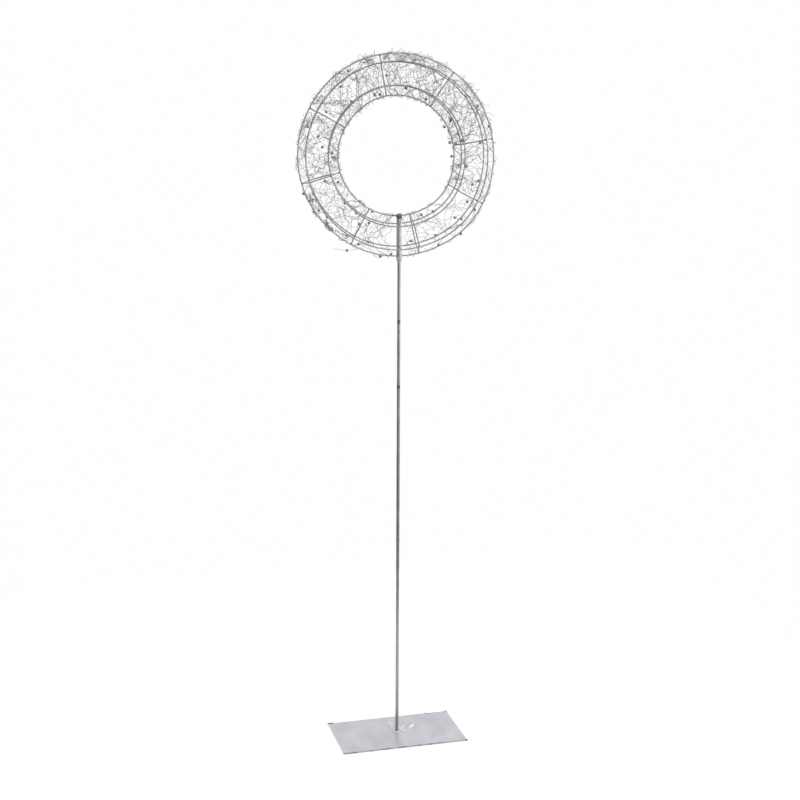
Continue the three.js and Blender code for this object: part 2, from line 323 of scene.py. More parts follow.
def burnt_steel():
    """Dark grey, blistered scale with a faint warm and blue tint."""
    f = Finish("burnt_steel", Metallic=0.6)
    patches = f.noise(0.003, detail=3)
    grit = f.noise(0.0006, detail=3)
    tint = patches.blend((0.10, 0.095, 0.105), (0.24, 0.23, 0.25))
    return f.paint(tint, 0.45 + grit * 0.3, grit, 0.5)


BURNT_STEEL = burnt_steel()
FRONT_CRUMBS = (-0.095, -0.063, -0.033, -0.001, 0.026, 0.048, 0.1165)  # places along the front edge


def edge_crumbs():
    """A crumb at each place along the lower front edge, a row of them at the back left corner and a few
    at the other corners and beside the nick."""
    rng = np.random.default_rng(11)
    front = np.array([(x, -PLATE_HALF[1], PLATE_TOP * 0.5) for x in FRONT_CRUMBS])
    back = PLATE_HALF[1] - 0.0007
    burr = np.array([(x, back, PLATE_TOP * 1.15) for x in np.linspace(-1, -0.93, 7) * PLATE_HALF[0]])
    corners = np.array([[0.995, 0.99], [0.97, 0.995], [-0.995, -0.99], [0.995, -0.99]]) * PLATE_HALF
    corners = np.column_stack([corners, np.full(4, PLATE_TOP * 0.9)])
    nick = np.array([(NICK - 0.0025, back, PLATE_TOP), (NICK + 0.002, back - 0.005, PLATE_TOP)])
    centres = np.concatenate([front, burr, corners, nick])
    sizes = rng.uniform(0.0009, 0.0015, (len(centres), 3)) * [1.6, 0.8, 0.7]
    return crumbs(centres, sizes, 12)


make_piece("edge_crumbs", *grid_faces(edge_crumbs(), False), "stand", "weld_metal", BURNT_STEEL)


# ---- rod ----------------------------------------------------------------------------------------
# A straight round bar of drawn steel, welded upright in the middle of the plate. It is bare and slightly
# polished, with long draw lines, stains, two dark knocks and a chamfered tip inside the sleeve.


def turned_grid(radii, heights, sides, ripple=0):
    """Rows of circles about the rod's axis, one for each radius and height. Ripple scales the radii."""
    a = np.linspace(0, 2 * math.pi, sides, endpoint=False)
    r = np.asarray(radii)[:, None] * (1 + ripple + 0 * a)
    z = np.asarray(heights)[:, None] + 0 * a
    return np.stack([r * np.cos(a), r * np.sin(a), z], -1)[None]


ROD_LOW, ROD_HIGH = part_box("stand_rod")
ROD_RADIUS = (ROD_HIGH.x - ROD_LOW.x) / 2


def rod_grid():
    """Circles up the rod, nearly all of one radius, with a chamfer of 0.8 mm at the tip."""
    chamfer = 0.0008
    heights = np.linspace(ROD_LOW.z - 0.0002, ROD_HIGH.z - chamfer, 420)
    radii = ROD_RADIUS + wobble(heights, [0.00003, 0.00002], [0.07, 0.023], 5)
    tip_heights = ROD_HIGH.z - chamfer * np.array([0.9, 0.5, 0.1, 0, 0])
    tip_radii = ROD_RADIUS - chamfer * np.array([0.08, 0.5, 0.92, 1.05, 2.5])
    return turned_grid([*radii, *tip_radii], [*heights, *tip_heights], 40)


def drawn_steel(name, dark, light, ground_below=0, knocks=()):
    """Bare drawn steel: lines along Z, cloudy stains, a few darker spots and a faint brown bloom where it
    is held. It has been ground bright below a height, and has dark knocks at some heights."""
    f = Finish(name)
    lines = f.noise(0.0007, detail=3, stretch=(1, 1, 0.02))
    stains = f.noise(0.018, detail=5, stretch=(1, 1, 0.35), roughness=0.62)
    spots = f.cells(0.006).ramp(0.24, 0.1) * f.noise(0.02, detail=2).ramp(0.5, 0.62)
    tone = stains.ramp(0.3, 0.72).blend(dark, light)
    tone = (lines.ramp(0.4, 0.7) * 0.3).blend(tone, tuple(1.25 * c for c in light))
    tone = (spots * 0.6).blend(tone, tuple(0.4 * c for c in dark))
    bloom = f.z.ramp(0.2, 0.32) * f.z.ramp(0.56, 0.46) * f.noise(0.03, detail=3).ramp(0.35, 0.55)
    tone = (bloom * 0.6).blend(tone, (0.25, 0.213, 0.225))
    for knock in knocks:
        tone = (abs(f.z - knock).ramp(0.0045, 0.002) * 0.75).blend(tone, (0.07, 0.068, 0.072))
    ground = f.z.ramp(ground_below, ground_below - 0.004)
    tone = (ground * 0.8).blend(tone, (0.62, 0.615, 0.63))
    roughness = 0.25 + stains * 0.16 + spots * 0.2 + ground * 0.3
    return f.paint(tone, roughness, lines + stains, 0.1, metallic=0.95 - spots * 0.3 - ground * 0.45)


KNOCKS = (0.7788, 0.6617)  # heights of two dark knocks on the rod
ROD_STEEL = drawn_steel("drawn_steel", (0.265, 0.26, 0.275), (0.36, 0.355, 0.37), knocks=KNOCKS)
make_piece("rod", *grid_faces(rod_grid(), False), "stand", "rod_steel", ROD_STEEL, ["stand_rod"])


# ---- foot weld ----------------------------------------------------------------------------------
# One thin run of weld round the rod's foot, laid as overlapping dabs and sprayed over with the plate. A
# white spot on its front is a painted highlight. Spatter from the weld sticks to the plate nearby.


def dabbed_ring(radius, height, spread, rise, dabs, seed, sides=96):
    """A weld run round the rod: a lopsided dome swept round it, swollen by one bump for each dab.

    The section goes from the rod's side, over the dome, to the plate; u runs round and v across."""
    u = np.linspace(0, 2 * math.pi, sides, endpoint=False)[None]
    v = np.linspace(0, 1, 12)[:, None]
    lean = wobble(u, [0.10, 0.07], [2 * math.pi, math.pi], seed)
    swell = 1 + lean + 0.10 * np.abs(np.sin(dabs * u / 2 + 1.4 * v))
    r = radius - 0.0003 + spread * swell * (1 - np.cos(v * math.pi / 2)) + 0.0003 * v
    z = height + rise * swell * (1 - v) ** 0.8 * (1 - 0.28 * np.sin(math.pi * v))
    under = np.stack([r[-1:] * 0 + radius * 0.9, z[-1:] * 0 + height - 0.0002])
    r = np.concatenate([under[0], radius * 0.9 + 0 * r[:1], r, r[-1:]])
    z = np.concatenate([under[1], z[:1], z, under[1]])
    return np.stack([r * np.cos(u), r * np.sin(u), z], -1)[None]


def weld_metal():
    """Brushed weld metal: bright and dark patches, fine pits."""
    f = Finish("weld_metal")
    patches = f.noise(0.002, detail=4)
    pits = f.cells(0.0009).ramp(0.05, 0.3)
    tone = patches.ramp(0.35, 0.65).blend((0.20, 0.195, 0.21), (0.46, 0.455, 0.47))
    return f.paint(tone, 0.3 + patches * 0.25, pits * 0.6 + patches, 0.4, metallic=0.85 - patches * 0.1)


WELD_METAL = weld_metal()


def silvered_weld():
    """The same weld under silver spray, with a painted highlight on the front: a white spot."""
    f = Finish("silvered_weld")
    patches = f.noise(0.002, detail=4)
    dx, dy = f.x + 0.0008, f.y + ROD_RADIUS
    dz = f.z - PLATE_TOP - 0.0014
    # A painted highlight: a white spot on the weld's front.
    painted_highlight_spot = (dx * dx + dy * dy * 0.5 + dz * dz).ramp(0.0017**2, 0.001**2)
    tone = patches.ramp(0.35, 0.65).blend((0.40, 0.39, 0.42), (0.52, 0.51, 0.54))
    tone = painted_highlight_spot.blend(tone, (0.96, 0.96, 0.97))
    return f.paint(tone, 0.4 + patches * 0.2, patches, 0.3, metallic=0.6 - painted_highlight_spot * 0.6)


SILVERED_WELD = silvered_weld()
FOOT_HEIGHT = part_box("foot_weld")[1].z - PLATE_TOP
foot_ring = dabbed_ring(ROD_RADIUS, PLATE_TOP, FOOT_HEIGHT * 1.15, FOOT_HEIGHT * 1.2, 13, 21)
foot_run = grid_faces(foot_ring, True)
make_piece("foot_weld_run", *foot_run, "stand", "weld_metal", SILVERED_WELD, ["foot_weld"])


DROPS = 22


def spatter():
    """Flattened drops strewn round the foot, fewer farther away."""
    rng = np.random.default_rng(31)
    away = ROD_RADIUS + 0.003 + rng.exponential(0.007, DROPS)
    turn = rng.uniform(0, 2 * math.pi, DROPS)
    centres = np.column_stack([away * np.cos(turn), away * np.sin(turn), np.full(DROPS, PLATE_TOP)])
    sizes = rng.uniform(0.00025, 0.0006, (DROPS, 1)) * [1, 1, 0.7]
    return crumbs(centres, sizes, 32)


make_piece("foot_spatter", *grid_faces(spatter(), False), "stand", "weld_metal", SILVERED_WELD)


# ---- sleeve ---------------------------------------------------------------------------------------
# A cut length of steel tube that stands across the bottom of the wreath and slips down over the rod. Its
# mouth is drawn in towards the rod and ground bright, and its top is shut by a lump of weld.


SLEEVE_LOW, SLEEVE_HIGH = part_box("sleeve_tube")
SLEEVE_RADIUS = (SLEEVE_HIGH.x - SLEEVE_LOW.x) / 2
BORE_RADIUS = 0.0034
MOUTH_RADIUS = 0.0039
MOUTH_HEIGHT = 0.008


def sleeve_grid():
    """Circles up the outside, over the top rim, down the bore and round the mouth, which closes it. The
    mouth widens to the full radius along half a cosine wave."""
    up = np.linspace(SLEEVE_LOW.z + 0.0005, SLEEVE_HIGH.z - 0.0006, 60)
    outside = SLEEVE_RADIUS + wobble(up, [0.00004, 0.00003], [0.041, 0.013], 7)
    rise = np.clip((up - up[0]) / MOUTH_HEIGHT, 0, 1)
    outside = outside - (SLEEVE_RADIUS - MOUTH_RADIUS) * (1 + np.cos(math.pi * rise)) / 2
    rim = np.linspace(0, math.pi, 9)[1:-1]
    share = 0.5 + 0.5 * np.cos(rim)
    top_radii = BORE_RADIUS + (SLEEVE_RADIUS - BORE_RADIUS) * share
    mouth_radii = BORE_RADIUS + (MOUTH_RADIUS - BORE_RADIUS) * share[::-1]
    top = SLEEVE_HIGH.z - 0.0006 + 0.0006 * np.sin(rim)
    mouth = SLEEVE_LOW.z + 0.0005 - 0.0005 * np.sin(rim)
    radii = [*outside, *top_radii, *np.full(60, BORE_RADIUS), *mouth_radii]
    return turned_grid(radii, [*up, *top, *up[::-1], *mouth], 48)


GROUND_BELOW = SLEEVE_LOW.z + 0.012
SLEEVE_STEEL = drawn_steel("tube_steel", (0.37, 0.365, 0.38), (0.48, 0.475, 0.495), GROUND_BELOW)
make_piece("sleeve", *grid_faces(sleeve_grid(), True), "sleeve", "rod_steel", SLEEVE_STEEL, ["sleeve_tube"])


# ---- wreath rings -----------------------------------------------------------------------------------
# Six rings of drawn steel wire, bent round a former and butt-welded, then sprayed silver: one large, one
# small, and a front and a back pair in between. They are bent by hand, so none is a true circle.


TURN = math.radians(-11.5)  # the wreath stands turned on the rod by this much
WIRE = 0.00125  # radius of the ring wire
OVAL = 0.98  # a ring's width over its height
WREATH_MIDDLE = sum((np.array(corner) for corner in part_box("outer_ring")), np.zeros(3)) / 2
RING_NAMES = (
    "outer_ring",
    "back_outer_ring",
    "back_inner_ring",
    "inner_ring",
    "front_inner_ring",
    "front_outer_ring",
)


def on_wreath(x, y, z):
    """A place in the row frame, from x to the right, y back and z up as the turned wreath faces, counted
    from its middle."""
    right = x * math.cos(TURN) - y * math.sin(TURN)
    back = x * math.sin(TURN) + y * math.cos(TURN)
    return np.stack([right, back, z], -1) + WREATH_MIDDLE


def from_row(point):
    """The other way: x, y and z from the wreath's middle for a point in the row frame."""
    x, y, z = np.asarray(point) - WREATH_MIDDLE
    return x * math.cos(TURN) + y * math.sin(TURN), y * math.cos(TURN) - x * math.sin(TURN), z


def bent_by_hand(clock, radius):
    """How far a ring strays outwards from its radius at a clock angle in radians. Two slow waves and a
    bulge at the lower right, all of which fade out beside the sleeve at the bottom."""
    waves = 0.0005 * np.sin(3 * clock + 0.7) + 0.0003 * np.sin(5 * clock + 2.1 + 9 * radius)
    bulge = 0.0016 * np.exp(-(((clock - math.radians(133)) / 0.32) ** 2)) * radius / 0.17
    return (waves + bulge) * (1 - np.exp(-(((clock - math.pi) / 0.2) ** 2)))


def cage(clock, radius, depth):
    """A place on the cage: the ring radius at a clock angle in radians, clockwise from the top as seen
    from the front, and the depth behind the middle plane."""
    r = radius + bent_by_hand(np.mod(clock, 2 * math.pi), radius)
    return on_wreath(OVAL * r * np.sin(clock), depth + 0 * clock, r * np.cos(clock))


def measured(name):
    """A ring's radius and depth from its node's box."""
    low, high = (np.array(corner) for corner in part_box(name))
    return (high[2] - low[2]) / 2 - WIRE, from_row((low + high) / 2)[1]


RINGS = {name: measured(name) for name in RING_NAMES}


def wire(paths, radii, sides, closed):
    """Round wires along paths (wires, points, 3): a circle that stands square to the path at each point.

    The circle's zero direction is the one before with its part along the path taken out, so that the
    wire doesn't twist. Radii is one number, or one for each point."""
    ahead = np.roll(paths, -1, 1) - np.roll(paths, 1, 1)
    if not closed:
        ahead[:, 0] = paths[:, 1] - paths[:, 0]
        ahead[:, -1] = paths[:, -1] - paths[:, -2]
    ahead /= np.linalg.norm(ahead, axis=2, keepdims=True)
    side = np.cross(ahead, [0.31, 0.9, 0.3])
    for i in range(1, paths.shape[1]):
        carried = side[:, i - 1] - (side[:, i - 1] * ahead[:, i]).sum(1, keepdims=True) * ahead[:, i]
        side[:, i] = carried
    side /= np.linalg.norm(side, axis=2, keepdims=True)
    other = np.cross(ahead, side)
    a = np.linspace(0, 2 * math.pi, sides, endpoint=False)[:, None]
    circle = np.cos(a) * side[:, :, None] + np.sin(a) * other[:, :, None]
    grids = paths[:, :, None] + np.broadcast_to(radii, paths.shape[:2])[..., None, None] * circle
    return grid_faces(grids, closed)


def silver_wire():
    """Silver spray on drawn wire: cloudy, thin in places where the steel shows darker."""
    f = Finish("silver_wire")
    clouds = f.noise(0.012, detail=4)
    grain = f.noise(0.0008, detail=3)
    thin = f.noise(0.006, detail=4, roughness=0.65).ramp(0.56, 0.7)
    tone = clouds.ramp(0.3, 0.7).blend((0.365, 0.36, 0.375), (0.49, 0.485, 0.50))
    tone = (thin * 0.5).blend(tone, (0.15, 0.145, 0.16))
    roughness = 0.34 + clouds * 0.12 + thin * 0.15
    return f.paint(tone, roughness, grain + clouds, 0.25, metallic=0.8 - thin * 0.1)


SILVER_WIRE = silver_wire()
BUTT_WELDS = dict(zip(RING_NAMES, (143, 226, 62, 262, 314, 101)))  # clock angle of each ring's butt weld
RING_STEPS = 320
WIRE_SIDES = 14

for name, (radius, depth) in RINGS.items():
    clock = np.linspace(0, 2 * math.pi, RING_STEPS, endpoint=False)
    stray = wobble(clock, [0.0003, 0.0002], [math.pi, 2 * math.pi / 5], BUTT_WELDS[name])
    from_weld = (clock - math.radians(BUTT_WELDS[name])) * radius
    thickness = WIRE * (1 + 0.32 * np.exp(-((from_weld / 0.0021) ** 2)))
    path = cage(clock, radius, depth + stray)[None]
    tube = wire(path, thickness, WIRE_SIDES, True)
    make_piece(f"{name}_wire", *tube, "wreath", "ring_wire", SILVER_WIRE, [name])


# ---- braces -----------------------------------------------------------------------------------------
# Eight hexagonal loops of the same wire inside the rings hold them apart. Each is bent over a jig, so its
# corners are rounded, and it is tack-welded to each ring where they touch.


BRACE_CLOCK = (35, 80, 118, 166, 208, 254, 298, 350)
BRACE_LEAN = (4.4, 3.2, 0.6, 2, -4.4, 0, -0.6, 3.1)  # degrees by which the back of each leans clockwise
SECTION = np.array([RINGS[name] for name in RING_NAMES])
SECTION_MIDDLE = np.array([(RINGS["outer_ring"][0] + RINGS["inner_ring"][0]) / 2, 0])


def moved_corners(distance):
    """The six corners of the cage's section, as radius and depth, moved away from its middle."""
    away = SECTION - SECTION_MIDDLE
    return SECTION + away / np.linalg.norm(away, axis=1)[:, None] * distance


def rounded_loop(corners, share, steps):
    """A closed polygon with rounded corners. Each corner becomes a parabola from share of the way back
    along one edge to share of the way along the next: a(1-t)^2 + 2 b t(1-t) + c t^2. The straight edges
    between them are cut into five."""
    before = corners + (np.roll(corners, 1, 0) - corners) * share
    after = corners + (np.roll(corners, -1, 0) - corners) * share
    t = np.linspace(0, 1, steps)[:, None, None]
    arcs = before * (1 - t) ** 2 + 2 * corners * t * (1 - t) + after * t**2
    s = np.linspace(0, 1, 6)[1:-1, None, None]
    edges = after + (np.roll(before, -1, 0) - after) * s
    return np.concatenate([arcs, edges]).transpose(1, 0, 2).reshape(-1, 2)


BRACE_INSET = 2 * WIRE + 0.0001  # the loop touches the rings from inside

for number, (degrees, lean) in enumerate(zip(BRACE_CLOCK, BRACE_LEAN), start=1):
    loop = rounded_loop(moved_corners(-BRACE_INSET), 0.09, 7)
    slack = wobble(np.linspace(0, 1, len(loop)), [0.0005, 0.0003], [0.5, 0.25], 40 + number)
    slope = math.tan(math.radians(lean))
    clock = math.radians(degrees) + (slack + slope * loop[:, 1]) / loop[:, 0]
    path = cage(clock, loop[:, 0], loop[:, 1])[None]
    tube = wire(path, WIRE, WIRE_SIDES, True)
    make_piece(f"brace_loop_{number}", *tube, "wreath", "ring_wire", SILVER_WIRE, [f"brace_{number}"])
    corners = moved_corners(-WIRE)
    clock = math.radians(degrees) + slope * corners[:, 1] / corners[:, 0]
    centres = cage(clock, corners[:, 0], corners[:, 1])
    sizes = np.random.default_rng(60 + number).uniform(0.0015, 0.0023, (6, 3))
    tacks = crumbs(centres, sizes, 70 + number)
    make_piece(f"tack_welds_{number}", *grid_faces(tacks, False), "wreath", "weld_metal", WELD_METAL)


# ---- sleeve's closed end and its welds ----------------------------------------------------------------
# The tube's top is shut by a rough lump of weld that also takes the innermost ring. It is burnt dark and
# stands higher on its right. Two flat welds join the back of the tube to the largest and smallest rings,
# and a stray bead of weld has run along the smallest ring to the left of it.


def cap_grid():
    """A squat block: circles up the axis whose radius grows from a collar, stays and then rounds off.
    Its top is tilted up to the right and its sides are swollen by waves."""
    low, high = (np.array(corner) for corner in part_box("sleeve_cap"))
    tall = high[2] - low[2]
    u = np.linspace(0, 2 * math.pi, 40, endpoint=False)[None]
    v = np.array([0, 0.02, 0.10, 0.16, 0.24, 0.4, 0.6, 0.8, 0.92, 1.0, 1.03])[:, None]
    r = SLEEVE_RADIUS * np.array([0.8, 1.06, 1.1, 1.0, 0.98, 1.02, 1.03, 1.0, 0.86, 0.5, 0.1])[:, None]
    r = r * (1 + wobble(u + 2 * v, [0.05, 0.03], [math.pi, 2 * math.pi / 5], 81))
    tilt = 0.0011 * np.cos(u - 0.2) * v**3 + 0.0004 * np.sin(3 * u) * v**2
    z = low[2] + tall * v * 0.86 + tilt
    return np.stack([r * np.cos(u), r * np.sin(u), z], -1)[None]


make_piece("burnt_cap", *grid_faces(cap_grid(), False), "wreath", "weld_metal", BURNT_STEEL, ["sleeve_cap"])


def flat_weld(node, seed):
    """A lump as large as the node's box, as crumbs makes them, in one piece."""
    low, high = (np.array(corner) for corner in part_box(node))
    size = (high - low) / 2 * [1.0, 0.8, 1.0]
    return crumbs(((low + high) / 2)[None], size[None], seed)


for place in ("top", "bottom"):
    node = f"sleeve_weld_{place}"
    lump = grid_faces(flat_weld(node, len(place)), False)
    make_piece(f"ring_weld_{place}", *lump, "wreath", "weld_metal", BURNT_STEEL, [node])

stray_middle = cage(np.radians([182.6]), RINGS["inner_ring"][0] - 0.0004, RINGS["inner_ring"][1])
stray_weld = crumbs(stray_middle, np.array([[0.0034, 0.0019, 0.002]]), 9)
make_piece("stray_weld", *grid_faces(stray_weld, False), "wreath", "weld_metal", WELD_METAL)


# ---- crimped wire -----------------------------------------------------------------------------------
# Hair-thin silver wire, crimped into waves and curls, wound round and round the cage between the braces.
# It lies over the rings, springs a little out of them and is thickest over the top and the upper left.


HAIR = 0.00032  # radius of the crimped wire
STEP = 0.0011  # roughly the length between two points of its path
PEGS = 26  # how many points apart a straying wire comes back to its course
CRIMP = 0.0004  # height of the fine waves that the crimping leaves in it
CRIMP_LENGTHS = np.array([0.0047, 0.0053])[:, None, None]  # their lengths, round the cage and along it
CLEAR_OF_RINGS = WIRE + HAIR + 0.0006
SECTION_CORNERS = moved_corners(CLEAR_OF_RINGS)
SECTION_EDGES = np.linalg.norm(np.roll(SECTION_CORNERS, -1, 0) - SECTION_CORNERS, axis=1)
SLACKNESS = np.array([0.55, 1, 0.55, 0.55, 1, 0.55])  # how loosely the wire lies on each face
SLACK_KNOTS = np.concatenate([[0], np.cumsum(SECTION_EDGES * SLACKNESS)])
SECTION_GIRTH = SLACK_KNOTS[-1]


def round_section(s):
    """The point at length s round the cage's section, from the outermost ring towards the back, and the
    direction away from the section's middle there. Length is carried on past a full round, and it is
    measured in slack wire, so that a tight face is crossed quickly."""
    corners = np.concatenate([SECTION_CORNERS, SECTION_CORNERS[:1]])
    place = np.mod(s, SECTION_GIRTH)
    point = np.stack([np.interp(place, SLACK_KNOTS, corners[:, i]) for i in range(2)], -1)
    away = point - SECTION_MIDDLE
    return point, away / np.linalg.norm(away, axis=-1, keepdims=True)


def smooth_random(rng, wires, points, knots):
    """Values from -1 to 1 that change slowly along each wire: random numbers at evenly spaced knots,
    eased from one to the next by half a cosine wave."""
    given = rng.uniform(-1, 1, (wires, knots + 1))
    t = np.linspace(0, knots - 1e-6, points)
    step = t.astype(int)
    ease = (1 - np.cos(math.pi * (t - step))) / 2
    return given[:, step] * (1 - ease) + given[:, step + 1] * ease


def jittery(steps):
    """The running sum of steps, less the straight line between its values at every peg, so that it
    strays from nought but keeps coming back to it."""
    walk = np.cumsum(steps, 1)
    i = np.arange(walk.shape[1])
    before = i // PEGS * PEGS
    after = np.minimum(before + PEGS, i[-1])
    share = (i - before) / np.maximum(after - before, 1)
    return walk - walk[:, before] * (1 - share) - walk[:, after] * share


def curly_paths(start, end, wires, length, seed, proud=0.004, centre=None, spread=None):
    """Paths of crimped wires on the cage between two clock angles in degrees: (wires, points, 3).

    Each winds round the section while it drifts to and fro along the bay. It strays from that in small
    steps, whose heading turns slowly into curls and loops and now and then kinks by a random angle. It
    stands clear of the rings by a wandering amount. With a centre, given as a clock angle and a length
    round the section, it wanders within spread of that instead and makes a tangle."""
    rng = np.random.default_rng(seed)
    points = int(length / STEP)
    shape = wires, points
    one = wires, 1
    t = STEP * np.arange(points)
    middle = SECTION_MIDDLE[0]
    half = math.radians(end - start) / 2 * middle
    if centre is None:
        pace = rng.uniform(0.45, 0.8, one) * rng.choice([-1, 1], one)
        s = rng.uniform(0, SECTION_GIRTH, one) + pace * t
        swing = rng.uniform(0, 2, one) + t * rng.uniform(0.3, 0.9, one) / (2 * half)
        along = (1 - 2 * np.abs(np.mod(swing, 2) - 1)) * (half - 0.004)
    else:
        s = centre[1] + spread * smooth_random(rng, *shape, points // 14)
        along = math.radians(centre[0] - (start + end) / 2) * middle
        along = along + 1.4 * spread * smooth_random(rng, *shape, points // 14)
    face = np.searchsorted(SLACK_KNOTS, np.mod(s, SECTION_GIRTH), side="right") - 1
    tight = SLACKNESS[np.clip(face, 0, 5)]
    kinks = rng.normal(0, 1.7, shape) * (rng.random(shape) < 0.18)
    curls = 0.45 * smooth_random(rng, *shape, points // 10)
    heading = rng.uniform(0, 6, one) + np.cumsum(kinks + curls, 1)
    phase = rng.uniform(0, 6, (2, *one))
    crimp = CRIMP * np.sin(2 * math.pi * t / CRIMP_LENGTHS + phase)
    s = s + jittery(STEP * np.cos(heading) * tight) + crimp[0]
    along = along + jittery(STEP * np.sin(heading) * tight) + crimp[1]
    share = along / half
    share = share / (1 + share**8) ** 0.125
    point, away = round_section(s)
    lift = 0.0012 * (1 + smooth_random(rng, *shape, points // 8))
    outermost = np.exp(-(((point[..., 0] - SECTION_CORNERS[0, 0]) / 0.006) ** 2))
    innermost = 0.6 * np.exp(-(((point[..., 0] - SECTION_CORNERS[3, 0]) / 0.006) ** 2))
    stray = np.maximum(0, smooth_random(rng, *shape, points // 22)) ** 2
    lift = lift + proud * stray * (0.35 + outermost + innermost)
    point = point + away * lift[..., None]
    clock = math.radians((start + end) / 2) + share * half / middle
    path = cage(clock, point[..., 0], point[..., 1])
    path[:, 1:-1] = (path[:, :-2] + 2 * path[:, 1:-1] + path[:, 2:]) / 4
    return path


def bright_wire():
    """Bright silver hair wire: lightly tarnished in patches along its length."""
    f = Finish("bright_wire")
    tarnish = f.noise(0.009, detail=4)
    fine = f.noise(0.0005, detail=2)
    tone = tarnish.ramp(0.3, 0.7).blend((0.28, 0.275, 0.29), (0.46, 0.455, 0.475))
    return f.paint(tone, 0.2 + tarnish * 0.14, fine, 0.2, metallic=0.9 - tarnish * 0.08)


BRIGHT_WIRE = bright_wire()

# Each bay: its clock angles, how many wires are wound in it, roughly how long each one is and how far they
# spring out of the rings.
BAYS = (
    (34, 81, 10, 0.62, 0.007),
    (79, 119, 6, 0.56, 0.003),
    (117, 167, 5, 0.45, 0.002),
    (165, 175.3, 1, 0.5, 0.001),
    (181.3, 209, 3, 0.6, 0.002),
    (207, 255, 6, 0.64, 0.005),
    (253, 299, 9, 0.58, 0.003),
    (297, 351, 11, 0.63, 0.006),
    (349, 396, 11, 0.64, 0.006),
)

# Tangles where a wire was knotted on: bay, clock angle, place round the section as the number of a ring and
# the share of the way to the next, spread and wires.
TANGLES = (
    (0, 48, 5.6, 0.005, 1),
    (0, 66, 5.1, 0.005, 1),
    (1, 99, 3.5, 0.005, 1),
    (1, 110, 3.5, 0.005, 1),
    (5, 214, 5.2, 0.005, 1),
    (5, 226, 5.6, 0.006, 2),
    (5, 236, 5.7, 0.006, 1),
    (5, 245, 5.4, 0.006, 2),
    (6, 268, 3.6, 0.004, 2),
    (6, 290, 5.5, 0.006, 1),
    (7, 305, 5.4, 0.006, 1),
    (7, 322, 5.4, 0.008, 1),
    (7, 343, 5.4, 0.007, 2),
    (8, 353, 5.4, 0.007, 2),
    (8, 363, 5.4, 0.008, 2),
    (8, 372, 5.2, 0.006, 1),
    (8, 387, 5.4, 0.006, 1),
)

TANGLE_LENGTH = 0.2  # roughly, of each wire in a tangle
HAIR_SIDES = 5  # the crimped wire is too thin for its corners to show

bay_paths = []
for number, (start, end, wires, length, proud) in enumerate(BAYS):
    paths = [curly_paths(start, end, wires, length, 100 + number, proud=proud)]
    for order, (bay, clock, place, spread, tangled) in enumerate(TANGLES):
        if bay == number:
            centre = clock, np.interp(place, range(7), SLACK_KNOTS)
            tangle = curly_paths(start, end, tangled, TANGLE_LENGTH, 200 + order, proud, centre, spread)
            paths.append(tangle)
    bay_paths.append(paths)
    meshes = [wire(p, HAIR, HAIR_SIDES, False) for p in paths]
    offsets = np.cumsum([0] + [len(points) for points, _ in meshes])
    points = np.concatenate([points for points, _ in meshes])
    faces = [np.concatenate([f[i] + o for (_, f), o in zip(meshes, offsets)]) for i in range(2)]
    name = f"crimped_wire_{number + 1}"
    make_piece(name, points, faces, "wreath", "crimped_wire", BRIGHT_WIRE, [f"curly_wire_{number + 1}"])


# ---- beads --------------------------------------------------------------------------------------------
# Round silvered plastic beads, threaded on the crimped wire before it was wound, so that they sit wherever
# it put them. All of these are on the front. Each has a moulded hole right through.


BEAD_RADIUS = 0.0026
BEAD_HOLE = 0.0006

# Where they sit in each bay: clock angle in degrees and ring radius in millimetres, all on the front.
BEADS = (
    ((54, 115), (57, 112), (58, 163), (59, 100), (70, 115), (71, 167), (76, 117), (79, 99), (79, 107)),
    ((81, 147), (92, 98), (98, 119), (104, 145), (109, 139)),
    ((120, 165), (120, 133), (134, 152), (136, 176), (136, 143), (145, 113), (152, 148),
     (158, 111), (159, 165)),
    ((171, 148),),
    ((184, 168), (188, 175), (199, 156), (204, 105), (204, 124), (205, 163)),
    ((209, 133), (217, 118), (220, 103), (222, 170), (230, 123), (230, 162), (236, 165),
     (244, 171), (247, 113), (247, 160), (249, 174), (252, 134)),
    ((272, 115), (277, 131), (284, 145), (288, 164), (297, 105)),
    ((300, 145), (319, 125), (320, 153), (322, 103), (330, 167), (340, 111), (345, 109)),
    ((351, 137), (367, 116), (370, 165), (387, 111)),
)


def bead_grids(centres, directions):
    """Beads along their wires: the profile is a ball from the rim of one hole to the other, and it comes
    back through the hole, turned about each bead's own direction."""
    rim = math.asin(BEAD_HOLE / BEAD_RADIUS)
    v = np.linspace(rim, math.pi - rim, 10)
    across = np.concatenate([BEAD_RADIUS * np.sin(v), [BEAD_HOLE * 0.8] * 2])
    height = np.concatenate([BEAD_RADIUS * np.cos(v), BEAD_RADIUS * np.array([-0.8, 0.8])])
    u = np.linspace(0, 2 * math.pi, 16, endpoint=False)
    side = np.cross(directions, [0.2, 0.3, 0.93])
    side /= np.linalg.norm(side, axis=1, keepdims=True)
    other = np.cross(directions, side)
    circle = np.cos(u)[:, None] * side[:, None] + np.sin(u)[:, None] * other[:, None]
    outwards = across[None, :, None, None] * circle[:, None]
    lengthways = height[None, :, None, None] * directions[:, None, None]
    return centres[:, None, None] + outwards + lengthways


def threaded(paths, wanted):
    """For each wanted place, the nearest point of any wire where it runs fairly straight, and the wire's
    direction there. Straightness is the length of the chord over three steps each way."""
    places, straight, directions = [], [], []
    for group in paths:
        chord = group[:, 6:] - group[:, :-6]
        long = np.linalg.norm(chord, axis=2)
        places.append(group[:, 3:-3].reshape(-1, 3))
        straight.append((long / long.max()).ravel())
        directions.append((chord / long[..., None]).reshape(-1, 3))
    places, straight, directions = (np.concatenate(a) for a in (places, straight, directions))
    away = np.linalg.norm(places[None] - wanted[:, None], axis=2)
    best = (away + 0.004 * (1 - straight)).argmin(1)
    return places[best], directions[best]


